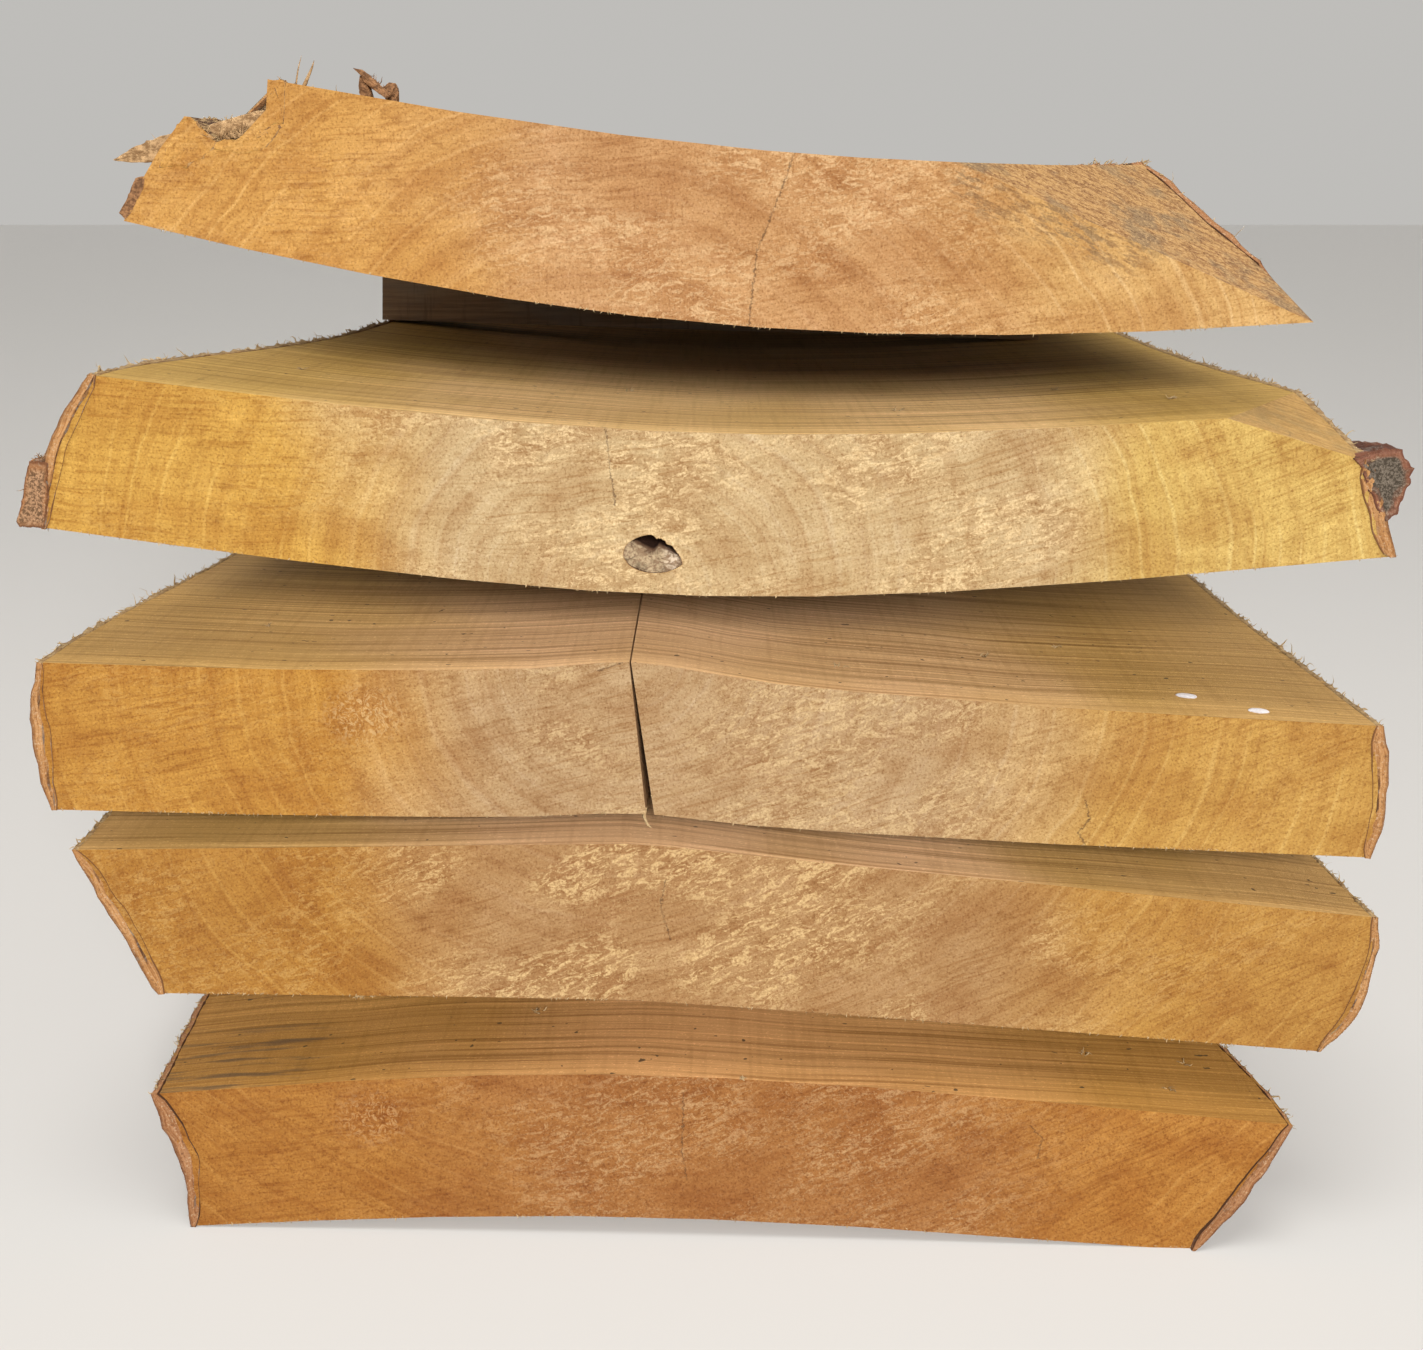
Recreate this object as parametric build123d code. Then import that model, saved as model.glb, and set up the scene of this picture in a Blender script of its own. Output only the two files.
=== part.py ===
from build123d import *
from dataclasses import dataclass
import math
import os

# A stack of live-edge slabs, stored as they came off the saw. One log was sawn
# through and through, and its slabs lie in log order with spacers between them.
# Millimetres. X runs across the slabs, Y runs back from the ends that face the
# viewer, and Z runs up from the floor. The origin is the middle of the
# footprint, on the floor.

# Sizes of the stock. Each slab's own sizes are in SLABS, below.
SLAB_LENGTH = 2000.0
HEART_X = -25.0              # the pith, which runs through the middle slabs
TAPER = 6.0                  # how far each edge draws in over the whole length
SWELL = 5.0                  # the slow wave of a grown edge
SWELL_LENGTH = 1150.0
RIDGE_SPREAD = 70.0          # how far the ridge over the pith reaches sideways
FLOOR_LAND = 0.8             # pressed flat where the lowest slab lies on the floor

# Sizes of the spacers and where their rows lie
SPACER_LENGTH = 298.0
SPACER_WIDTH = 40.0
ROW_SETBACK = 370.0          # from the slabs' ends to the middle of the first row
ROW_COUNT = 4
SEAT_GAP = 0.15              # air left where a spacer touches a curved face

# Damage that goes through the stock
CRACK_WIDTH = 2.6            # at the underside, closing to CRACK_TIP at the pith
CRACK_TIP = 0.5
CRACK_LEAN = 6.0             # how far the crack runs sideways on its way down
CRACK_DEPTH = 180.0
ROT_WIDTH = 19.5
ROT_HEIGHT = 12.0
ROT_DEPTH = 85.0
ROT_RISE = 12.0              # from the slab's underside to the middle of the hole
ROT_OFFSET = 8.0             # from the pith to the middle of the hole
NOTCH_DEPTH = 75.0
NOTCH_DROP = 19.5            # from the upper face to the notch's floor
# x from the slab's corner, z from the notch's floor, both ends clear of the slab
NOTCH_OUTLINE = [(-20, 30), (-17, 7.5), (-12, 7), (-5, 0), (1, 0), (10, 9), (12, 30)]

CURVE_POINT_COUNT = 15       # across a sawn face
SECTION_COUNT = 13           # along a slab
CROWDING = 1.7               # above 1, sections stand closer at the butt
TRIAL_COUNT = 61             # places where a spacer is tried against the faces
CUT_PAST = 1.0               # how far a cutting shape runs past the faces it opens


@dataclass
class Cup:
    """How one sawn face curves across the slab after drying."""
    lean: float              # mean slope, above 0 where the right side is higher
    fold: float              # above 0, both wings turn up
    crown_x: float           # where the curve turns
    softness: float          # how far the turn is spread
    ridge: float = 0.0       # a sharp ridge over the pith

    def height(self, x):
        run = x - self.crown_x
        wings = self.fold * (math.hypot(run, self.softness) - self.softness)
        ridge = self.ridge * math.exp(-abs(run) / RIDGE_SPREAD)
        return self.lean * run + wings + ridge


@dataclass
class LiveEdge:
    """A bark-covered edge, by its distance from the middle of the stack."""
    top: float               # at the upper face, at the front end
    middle: float            # halfway down
    bottom: float            # at the underside
    bulge_at: float          # where along the slab the edge swells
    flare: float = 6.0       # how much wider the edge stands at the butt
    flare_reach: float = 150.0

    def drawn_in(self, depth):
        """How far nearer to the middle the edge is at this depth."""
        wave = 2 * math.pi / SWELL_LENGTH
        swell = math.cos(wave * (depth - self.bulge_at)) - math.cos(wave * self.bulge_at)
        butt = self.flare * (1 - math.exp(-((depth / self.flare_reach) ** 2)))
        return butt + TAPER * depth / SLAB_LENGTH - SWELL * swell


@dataclass
class Bevel:
    """The upper right corner sawn off at the front end, by how far the cut reaches."""
    inset: float             # in over the upper face
    drop: float              # down the edge
    back: float              # back along the edge


@dataclass
class Slab:
    """One slab: its faces, its edges and its thickness over the pith."""
    thickness: float
    upper: Cup
    under: Cup
    left: LiveEdge
    right: LiveEdge
    bevel: Bevel = None
    end_skew: float = 0.0    # slope of the front end, across the slab
    end_offset: float = 0.0  # how far the front end stands forward

    def underside(self, x):
        return self.under.height(x) - self.under.height(HEART_X)

    def topside(self, x):
        return self.thickness + self.upper.height(x) - self.upper.height(HEART_X)


@dataclass
class SpacerLayer:
    """The spacers between two slabs: how thick, and at what slope they lie."""
    thickness: float
    slope: float


# From the top of the stack down
SLABS = [
    Slab(51.5, Cup(-0.0435, 0.197, 60, 200), Cup(-0.0865, 0.233, 0, 200),
         LiveEdge(139, 160, 172, 150), LiveEdge(137, 160, 178, 500),
         Bevel(inset=65, drop=46, back=55)),
    Slab(49.5, Cup(-0.0295, 0.108, 0, 100), Cup(-0.023, 0.131, 0, 100),
         LiveEdge(184, 198.5, 202, 150, flare=36), LiveEdge(192, 200, 207, 500, flare=12),
         Bevel(inset=38, drop=15.5, back=65)),
    Slab(48.0, Cup(-0.0477, 0.0, HEART_X, 100, 9.4), Cup(-0.0374, 0.0, HEART_X, 100, 5.9),
         LiveEdge(205.5, 208.5, 204, 200, flare=20), LiveEdge(206, 208.5, 205, 550)),
    Slab(51.5, Cup(-0.0458, -0.062, HEART_X, 100, 4.0), Cup(-0.0462, -0.041, HEART_X, 100, 1.5),
         LiveEdge(199, 187, 174, 300), LiveEdge(208, 207.5, 193.5, 650)),
    Slab(49.0, Cup(0.0124, -0.107, -40, 100), Cup(0.010, -0.08, -40, 100),
         LiveEdge(180, 172, 170, 350, flare=-2, flare_reach=80),
         LiveEdge(183, 171, 153.5, 700, flare=14, flare_reach=60),
         end_skew=-0.0464, end_offset=2.3),
]

SPACER_LAYERS = [
    SpacerLayer(22.0, -0.031),
    SpacerLayer(21.0, -0.030),
    SpacerLayer(4.0, -0.043),
    SpacerLayer(18.5, -0.050),
]


def spread(start, end, count):
    """Evenly spaced values from start to end."""
    return [start + (end - start) * i / (count - 1) for i in range(count)]


def across(start, end):
    """Places across a sawn face, one of them on the pith."""
    half = CURVE_POINT_COUNT // 2 + 1
    return spread(start, HEART_X, half) + spread(HEART_X, end, half)[1:]


def section_depths():
    """Distances from the front end, closer together near the butt."""
    return [SLAB_LENGTH * share ** CROWDING for share in spread(0.0, 1.0, SECTION_COUNT)]


def slab_section(slab, base, depth):
    """The closed outline of a slab at one depth."""
    inward_left = slab.left.drawn_in(depth)
    inward_right = slab.right.drawn_in(depth)
    ahead = 1.0 if depth == 0 else 0.0

    def point(x, z):
        shift = ahead * (slab.end_skew * x - slab.end_offset)
        return (x, depth + shift, base + z)

    top_left = inward_left - slab.left.top
    top_right = slab.right.top - inward_right
    low_left = inward_left - slab.left.bottom
    low_right = slab.right.bottom - inward_right
    upper = [point(x, slab.topside(x)) for x in across(top_left, top_right)]
    under = [point(x, slab.underside(x)) for x in across(low_right, low_left)]
    left_middle = (slab.topside(top_left) + slab.underside(low_left)) / 2
    right_middle = (slab.topside(top_right) + slab.underside(low_right)) / 2
    right_side = [upper[-1], point(slab.right.middle - inward_right, right_middle), under[0]]
    left_side = [under[-1], point(inward_left - slab.left.middle, left_middle), upper[0]]
    return Wire([Edge.make_spline([Vector(*p) for p in side])
                 for side in (upper, right_side, under, left_side)])


def slab_solid(slab, base):
    return Solid.make_loft([slab_section(slab, base, depth) for depth in section_depths()])


def stack_bases():
    """Heights over the floor of each slab's underside at the pith, and of each spacer."""
    lowest = SLABS[-1]
    arrises = []
    for depth in section_depths():
        arrises.append(lowest.underside(lowest.left.drawn_in(depth) - lowest.left.bottom))
        arrises.append(lowest.underside(lowest.right.bottom - lowest.right.drawn_in(depth)))
    bases = [-min(arrises) - FLOOR_LAND]
    seats = []
    reach = spread(-SPACER_LENGTH / 2, SPACER_LENGTH / 2, TRIAL_COUNT)
    for below, above, layer in zip(SLABS[:0:-1], SLABS[-2::-1], SPACER_LAYERS[::-1]):
        slope = layer.slope
        seat = SEAT_GAP + max(bases[0] + below.topside(x) - slope * x for x in reach)
        lid = seat + layer.thickness * math.hypot(1, slope)
        seats.insert(0, seat)
        bases.insert(0, SEAT_GAP + max(lid + slope * x - above.underside(x) for x in reach))
    return bases, seats


def spacer_solid(layer, seat, depth):
    """A straight lath across the stack, lying at its layer's slope."""
    middle = seat + layer.thickness * math.hypot(1, layer.slope) / 2
    tilt = -math.degrees(math.atan(layer.slope))
    lath = Box(SPACER_LENGTH, SPACER_WIDTH, layer.thickness)
    return Pos(0, depth, middle) * Rot(0, tilt, 0) * lath


def row_depths():
    return spread(ROW_SETBACK, SLAB_LENGTH - ROW_SETBACK, ROW_COUNT)


def bevelled(solid, slab, base):
    """Saw off the upper right corner at the front end."""
    bevel, edge = slab.bevel, slab.right
    corner = Vector(edge.top, 0, base + slab.topside(edge.top))
    edge_height = slab.topside(edge.top) - slab.underside(edge.bottom)
    spread_per_drop = (edge.bottom - edge.top) / edge_height
    start_x = edge.top - bevel.inset
    start = Vector(start_x, 0, base + slab.topside(start_x))
    end = corner + Vector(spread_per_drop * bevel.drop, 0, -bevel.drop)
    back = corner + Vector(0, bevel.back, 0)
    upward = (back - start).cross(start - end)
    return solid.split(Plane(origin=start, z_dir=upward), keep=Keep.BOTTOM)


def heart_crack(slab, base):
    """The drying crack that opens downward from the pith at the front end."""
    tip = base + slab.topside(HEART_X) + CUT_PAST
    foot = base + slab.underside(HEART_X) - CUT_PAST
    foot_x = HEART_X + CRACK_LEAN
    outline = Polyline(
        (HEART_X - CRACK_TIP / 2, tip),
        (HEART_X + CRACK_TIP / 2, tip),
        (foot_x + CRACK_WIDTH / 2, foot),
        (foot_x - CRACK_WIDTH / 2, foot),
        close=True,
    )
    return extrude(Plane.XZ * make_face(outline), amount=-CRACK_DEPTH)


def rot_hole(base):
    """The hollow beside the pith, where the heart has rotted out."""
    middle = Pos(HEART_X + ROT_OFFSET, base + ROT_RISE)
    return extrude(Plane.XZ * middle * Ellipse(ROT_WIDTH / 2, ROT_HEIGHT / 2), amount=-ROT_DEPTH)


def torn_notch(slab, base):
    """Where a strip was torn from the top left corner of the front end."""
    corner_x = -slab.left.top
    floor = base + slab.topside(corner_x) - NOTCH_DROP
    outline = Polyline(*[(corner_x + x, floor + z) for x, z in NOTCH_OUTLINE], close=True)
    return extrude(Plane.XZ * make_face(outline), amount=-NOTCH_DEPTH)


def build():
    """All pieces by name, before they are centred on the footprint."""
    bases, seats = stack_bases()
    solids = [slab_solid(slab, base) for slab, base in zip(SLABS, bases)]

    for index, (slab, base) in enumerate(zip(SLABS, bases)):
        if slab.bevel:
            solids[index] = bevelled(solids[index], slab, base)
    solids[0] -= torn_notch(SLABS[0], bases[0])
    solids[1] -= rot_hole(bases[1])
    solids[2] -= heart_crack(SLABS[2], bases[2])
    solids[4] = solids[4].split(Plane.XY, keep=Keep.TOP)

    pieces = {f"slab_{number}": solid for number, solid in enumerate(solids, start=1)}
    for number, (layer, seat) in enumerate(zip(SPACER_LAYERS, seats), start=1):
        for row, depth in enumerate(row_depths(), start=1):
            pieces[f"spacer_{number}_{number + 1}_row_{row}"] = spacer_solid(layer, seat, depth)
    return pieces


pieces = build()
extent = Compound(list(pieces.values())).bounding_box()
to_middle = Pos(-extent.center().X, -extent.center().Y, 0)

os.makedirs("parts", exist_ok=True)
for name, piece in pieces.items():
    export_step(to_middle * piece, f"parts/{name}.step")
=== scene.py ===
import math
import random

import bpy
import numpy as np
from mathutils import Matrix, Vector, noise
from mathutils.bvhtree import BVHTree


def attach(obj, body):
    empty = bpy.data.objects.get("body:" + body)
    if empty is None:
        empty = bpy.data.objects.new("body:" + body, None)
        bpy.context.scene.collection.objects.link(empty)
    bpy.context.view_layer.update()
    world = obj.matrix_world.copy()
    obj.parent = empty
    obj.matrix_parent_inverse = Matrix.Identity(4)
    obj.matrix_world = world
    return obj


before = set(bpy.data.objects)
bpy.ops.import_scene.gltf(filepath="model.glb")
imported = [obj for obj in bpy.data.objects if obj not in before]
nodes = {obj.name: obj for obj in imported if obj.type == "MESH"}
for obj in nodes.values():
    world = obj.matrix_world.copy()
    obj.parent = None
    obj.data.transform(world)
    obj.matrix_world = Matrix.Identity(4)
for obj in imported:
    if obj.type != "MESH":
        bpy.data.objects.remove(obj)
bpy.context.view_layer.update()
draw = random.Random(11)
MM = 0.001


# Materials. Colours are linear, lengths inside a material are millimetres.

class Tree:
    """A short way to write a material's nodes."""

    def __init__(self, name):
        self.material = bpy.data.materials.new(name)
        self.material.use_nodes = True
        self.tree = self.material.node_tree
        self.shader = self.tree.nodes["Principled BSDF"]
        self.shader.inputs["Specular IOR Level"].default_value = 0.25
        self.shader.inputs["Diffuse Roughness"].default_value = 1.0

    def node(self, kind, **settings):
        made = self.tree.nodes.new(kind)
        for key, value in settings.items():
            setattr(made, key, value)
        return made

    def plug(self, socket, value):
        if isinstance(value, bpy.types.NodeSocket):
            self.tree.links.new(value, socket)
        elif isinstance(value, (tuple, list)) and len(value) == 3 and socket.type == "RGBA":
            socket.default_value = (*value, 1)
        else:
            socket.default_value = value

    def math(self, operation, a, b=0.0, c=0.0, clamp=False):
        made = self.node("ShaderNodeMath", operation=operation, use_clamp=clamp)
        for socket, value in zip(made.inputs, (a, b, c)):
            self.plug(socket, value)
        return made.outputs[0]

    def add(self, a, b):
        return self.math("ADD", a, b)

    def mul(self, a, b):
        return self.math("MULTIPLY", a, b)

    def vector(self, operation, a, b=(0, 0, 0)):
        made = self.node("ShaderNodeVectorMath", operation=operation)
        self.plug(made.inputs[0], a)
        self.plug(made.inputs[1], b)
        return made.outputs["Value" if operation in ("DOT_PRODUCT", "LENGTH") else "Vector"]

    def scale(self, vector, factor):
        made = self.node("ShaderNodeVectorMath", operation="SCALE")
        self.plug(made.inputs[0], vector)
        self.plug(made.inputs["Scale"], factor)
        return made.outputs[0]

    def xyz(self, x, y, z):
        made = self.node("ShaderNodeCombineXYZ")
        for socket, value in zip(made.inputs, (x, y, z)):
            self.plug(socket, value)
        return made.outputs[0]

    def split(self, vector):
        made = self.node("ShaderNodeSeparateXYZ")
        self.plug(made.inputs[0], vector)
        return made.outputs

    def noise(self, vector, scale=1.0, detail=2.0, roughness=0.5, distortion=0.0):
        """Noise, evenly about 0.5; scale is one number or one for each axis."""
        if isinstance(scale, tuple):
            vector, scale = self.vector("MULTIPLY", vector, scale), 1.0
        made = self.node("ShaderNodeTexNoise")
        self.plug(made.inputs["Vector"], vector)
        self.plug(made.inputs["Scale"], scale)
        self.plug(made.inputs["Detail"], detail)
        self.plug(made.inputs["Roughness"], roughness)
        self.plug(made.inputs["Distortion"], distortion)
        return made.outputs[0]

    def step(self, value, low, high, start=0.0, end=1.0):
        made = self.node("ShaderNodeMapRange", interpolation_type="SMOOTHSTEP")
        for socket, number in zip(made.inputs, (value, low, high, start, end)):
            self.plug(socket, number)
        return made.outputs[0]

    def within(self, value, low, high, soft):
        """1 between low and high, fading to 0 over soft outside them."""
        return self.mul(self.step(value, low - soft, low), self.step(value, high, high + soft, 1.0, 0.0))

    def mix(self, share, a, b, blend="MIX"):
        made = self.node("ShaderNodeMix", data_type="RGBA", blend_type=blend)
        self.plug(made.inputs[0], share)
        self.plug(made.inputs[6], a)
        self.plug(made.inputs[7], b)
        return made.outputs[2]

    def shade(self, share, color, *factors):
        """The colour times these factors, by the share."""
        return self.mix(share, color, factors, "MULTIPLY")

    def bump(self, height, strength=0.5, distance=0.001):
        made = self.node("ShaderNodeBump")
        made.inputs["Strength"].default_value = strength
        made.inputs["Distance"].default_value = distance
        self.plug(made.inputs["Height"], height)
        return made.outputs[0]

    def place(self):
        """The surface's place in millimetres, in the frame."""
        return self.scale(self.node("ShaderNodeTexCoord").outputs["Object"], 1000.0)

    def facing(self):
        """The surface's normal, as its three parts."""
        return self.split(self.node("ShaderNodeNewGeometry").outputs["Normal"])

    def line(self, place, start, end, width):
        """1 on the line from start to end, each an (x, z), fading out over width."""
        run = (end[0] - start[0], 0.0, end[1] - start[1])
        away = self.vector("SUBTRACT", place, (start[0], 0.0, start[1]))
        share = self.math("DIVIDE", self.vector("DOT_PRODUCT", away, run), run[0] ** 2 + run[2] ** 2,
                          clamp=True)
        off = self.vector("SUBTRACT", away, self.scale(run, share))
        return self.step(self.vector("LENGTH", off), width * 0.4, width, 1.0, 0.0)

    def finish(self, color, roughness, normal=None):
        self.plug(self.shader.inputs["Base Color"], color)
        self.plug(self.shader.inputs["Roughness"], roughness)
        if normal is not None:
            self.plug(self.shader.inputs["Normal"], normal)
        return self.material


def tint(color, *factors):
    return tuple(c * f for c, f in zip(color, factors))


# Each slab: the centre (x, z) that its rings run round; sapwood, heart, torn fibre
# and sawn face colours; how far the heart reaches; how much of it the saw has torn; how
# much paler the right side is; the slope of the saw's strokes in the middle and how
# it grows to the right; how clean the sapwood is of torn fibres; a knot's (x, z);
# fine cracks, as lists of (x, z)
# Slabs 3, 4 and 5 have their sapwood, heart and torn fibre colours scaled darker than their own tone, a painted shade
# for the light falling off towards the foot of the stack.
LOOKS = {
    "slab_1": dict(
        pith=(-26, 236), sap=(0.60, 0.325, 0.080), heart=(0.54, 0.295, 0.115),
        pale=(0.78, 0.56, 0.30), face=(0.50, 0.31, 0.12), reach=(45, 115), torn=0.60,
        right=(1.02, 1.15, 1.60), slope=(0.12, 0.0006), clean=0.75,
        cracks=[[(23.4, 342.3), (19, 330), (12.4, 313.8), (9.9, 291.7)]]),
    "slab_2": dict(
        pith=(-26, 209), sap=(0.59, 0.335, 0.062), heart=(0.56, 0.40, 0.20),
        pale=(0.82, 0.64, 0.36), face=(0.54, 0.37, 0.145), reach=(84, 138), torn=0.75,
        right=(1.03, 1.22, 1.80), slope=(0.16, 0.0014), clean=0.80,
        cracks=[[(-32.7, 261.5), (-31.5, 250), (-30.0, 238.4)]]),
    "slab_3": dict(
        pith=(-26, 192), sap=(0.50, 0.245, 0.040), heart=(0.48, 0.315, 0.155),
        pale=(0.74, 0.56, 0.30), face=(0.51, 0.33, 0.15), reach=(62, 140), torn=0.60,
        right=(1.05, 1.20, 1.60), slope=(0.28, 0.0006), clean=0.50, knot=(-107.4, 173.4),
        cracks=[[(-36.0, 187.6), (-29, 189.5), (-26.5, 192.5)],
                [(114.9, 146.3), (116.5, 140), (113, 136), (115.5, 131.8)]]),
    "slab_4": dict(
        pith=(-26, 185), sap=(0.43, 0.20, 0.033), heart=(0.43, 0.245, 0.098),
        pale=(0.70, 0.50, 0.24), face=(0.49, 0.31, 0.14), reach=(62, 140), torn=0.88,
        right=(1.10, 1.22, 1.50), slope=(0.34, 0.0006), clean=0.25,
        cracks=[[(-15.4, 120.4), (-17, 112), (-14.0, 100.6)]]),
    "slab_5": dict(
        pith=(-26, 163), sap=(0.41, 0.175, 0.030), heart=(0.37, 0.155, 0.040),
        pale=(0.62, 0.40, 0.19), face=(0.47, 0.255, 0.085), reach=(50, 130), torn=0.55,
        right=(1.10, 1.14, 1.20), slope=(0.30, 0.0012), clean=0.80, knot=(-109.9, 39.4),
        cracks=[[(-10, 50), (-10.5, 30), (-9, 20)], [(100, 41), (104, 37), (103, 30)]]),
}
FRONT = -994.6                  # the sawn front ends, in millimetres
ROT_MIDDLE = (-18.06, 223.52)     # the rotted hole in slab 2, (x, z)
RING_PITCH = 9.6
HEART_MIDDLE = 6


def end_color(t, look, place, x, y, z):
    """The sawn ends: rings, rays, torn fibres and the strokes of the saw."""
    sap, core, pale = look["sap"], look["heart"], look["pale"]
    drift = t.noise(place, (0.009, 0.003, 0.009), 1.0)
    small_drift = t.noise(place, (0.05, 0.01, 0.05), 1.0)
    dx = t.mul(t.add(x, -look["pith"][0]), 0.92)
    dz = t.add(z, -look["pith"][1])
    radius = t.math("SQRT", t.add(t.mul(dx, dx), t.mul(dz, dz)))
    ring = t.add(radius, t.add(t.mul(t.add(drift, -0.5), 26), t.mul(t.add(small_drift, -0.5), 4.5)))
    angle = t.math("ARCTAN2", dz, dx)

    # heart in the middle, sapwood at both sides
    broad = t.noise(place, 0.02, 1.0)
    wander = t.mul(t.add(broad, -0.5), 62)
    off = t.add(t.math("ABSOLUTE", t.add(x, -HEART_MIDDLE)), wander)
    heart = t.step(off, look["reach"][0], look["reach"][1], 1.0, 0.0)
    color = t.mix(heart, t.shade(t.step(x, -60, 110), sap, *look["right"]), core)

    # broad clouds, then bands that follow the rings
    cloud = t.noise(place, (0.035, 0.01, 0.05), 2.0, 0.6)
    color = t.shade(t.step(cloud, 0.42, 0.66, 0.0, 0.60), color, 1.10, 1.16, 1.28)
    color = t.shade(t.step(cloud, 0.34, 0.54, 0.65, 0.0), color, 0.86, 0.75, 0.66)
    band = t.noise(t.xyz(t.mul(ring, 0.20), t.mul(y, 0.002), 0.3), 1.0, 2.0, 0.7)
    color = t.shade(t.step(band, 0.44, 0.66, 0.0, 0.60), color, 0.84, 0.74, 0.64)

    # pale ring lines, with finer ones between, clearest in the sapwood
    uneven = t.noise(t.xyz(t.mul(ring, 0.045), 0.2, 0.6), 1.0, 1.0)
    phase = t.math("FRACT", t.add(t.mul(ring, 1 / RING_PITCH), t.mul(uneven, 2.2)))
    main = t.step(t.math("ABSOLUTE", t.add(phase, -0.5)), 0.015, 0.08, 1.0, 0.0)
    phase = t.math("FRACT", t.add(t.mul(ring, 2.7 / RING_PITCH), t.mul(uneven, 5.0)))
    minor = t.step(t.math("ABSOLUTE", t.add(phase, -0.5)), 0.03, 0.16, 1.0, 0.0)
    clear = t.step(broad, 0.36, 0.56, 0.15, 1.0)
    lines = t.mul(t.math("MAXIMUM", main, t.mul(minor, 0.22)), t.mul(clear, t.add(0.85, t.mul(heart, -0.60))))
    color = t.shade(lines, color, 1.15, 1.28, 1.60)
    phase = t.math("FRACT", t.add(t.mul(ring, 1.9 / RING_PITCH), t.mul(uneven, 3.1)))
    dark = t.step(t.math("ABSOLUTE", t.add(phase, -0.5)), 0.02, 0.13, 1.0, 0.0)
    color = t.shade(t.mul(dark, t.mul(clear, 0.26)), color, 0.80, 0.66, 0.52)

    # rays run out from the pith
    rays = t.noise(t.xyz(t.mul(angle, 46), t.mul(radius, 0.03), t.mul(y, 0.02)), 1.0, 1.0)
    color = t.shade(t.step(rays, 0.55, 0.70, 0.0, 0.35), color, 1.14, 1.20, 1.35)

    # the saw's strokes lie at a slant that turns from left to right
    slope, turn = look["slope"]
    across = t.add(z, t.add(t.mul(x, -slope), t.mul(t.mul(x, x), -turn / 2)))
    across = t.add(across, t.mul(t.add(small_drift, -0.5), 3))
    stroke = t.noise(t.xyz(t.mul(x, 0.045), t.mul(y, 0.02), t.mul(across, 0.85)), 1.0, 2.0, 0.68)
    where = t.step(broad, 0.38, 0.64, 1.0, 0.30)
    color = t.shade(t.mul(t.step(stroke, 0.51, 0.64, 0.0, 0.75), where), color, 0.80, 0.68, 0.54)
    color = t.shade(t.mul(t.step(stroke, 0.35, 0.47, 0.5, 0.0), where), color, 1.14, 1.18, 1.24)

    # fibres torn pale, in ragged rows along the strokes, fewer in the sapwood
    held = t.add(1 - look["clean"], t.mul(heart, look["clean"]))
    patch = t.noise(t.xyz(t.mul(x, 0.020), t.mul(y, 0.01), t.mul(across, 0.035)), 1.0, 1.0)
    shred = t.noise(t.xyz(t.mul(x, 0.17), t.mul(y, 0.03), t.mul(across, 0.40)), 1.0, 4.0, 0.74, 1.2)
    fleck = t.noise(place, (0.85, 0.2, 1.0), 2.0, 0.75)
    torn = t.mul(t.step(patch, 0.40, 0.58), t.step(shred, 0.49, 0.57))
    torn = t.mul(torn, t.step(fleck, 0.36, 0.54, 0.35, 1.0))
    fuzz = t.mul(t.step(fleck, 0.56, 0.66), t.step(patch, 0.34, 0.54, 0.15, 0.65))
    torn = t.mul(held, t.math("MAXIMUM", t.mul(torn, look["torn"]), t.mul(fuzz, 0.60)))
    color = t.mix(torn, color, t.mix(heart, tint(sap, 1.32, 1.66, 2.9), pale))

    # pores and pits
    speck = t.noise(place, 1.3, 2.0, 0.74)
    color = t.shade(t.step(speck, 0.52, 0.68, 0.0, 0.85), color, 0.64, 0.52, 0.40)
    color = t.shade(t.step(speck, 0.32, 0.48, 0.75, 0.0), color, 1.20, 1.27, 1.38)
    rough = t.noise(place, (0.35, 0.1, 0.45), 2.0, 0.7)
    color = t.shade(t.step(rough, 0.50, 0.68, 0.0, 0.55), color, 0.76, 0.65, 0.52)

    knot = look.get("knot")
    if knot:
        away = t.vector("SUBTRACT", t.vector("MULTIPLY", place, (1, 0, 1.3)), (knot[0], 0.0, knot[1] * 1.3))
        away = t.vector("LENGTH", away)
        hairs = t.noise(place, (0.34, 0.05, 0.30), 3.0, 0.72, 2.6)
        near = t.step(away, 4, 17, 1.0, 0.0)
        color = t.shade(t.mul(near, 0.75), color, 0.88, 0.76, 0.64)
        color = t.mix(t.mul(near, t.step(hairs, 0.50, 0.60, 0.0, 0.55)), color, tint(pale, 1.0, 0.95, 0.85))
        color = t.shade(t.mul(near, t.step(hairs, 0.36, 0.46, 0.6, 0.0)), color, 0.70, 0.56, 0.45)

    wobble = t.scale(t.vector("SUBTRACT", t.xyz(fleck, 0.5, shred), (0.5, 0.5, 0.5)), 2.4)
    ragged = t.vector("MULTIPLY", t.vector("ADD", place, wobble), (1, 0, 1))
    for crack in look["cracks"]:
        for start, end in zip(crack, crack[1:]):
            seam = t.mul(t.line(ragged, start, end, 0.34), t.step(rough, 0.40, 0.56, 0.30, 0.62))
            color = t.mix(seam, color, (0.10, 0.045, 0.018))
    return color, speck, heart, drift, ragged


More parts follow.
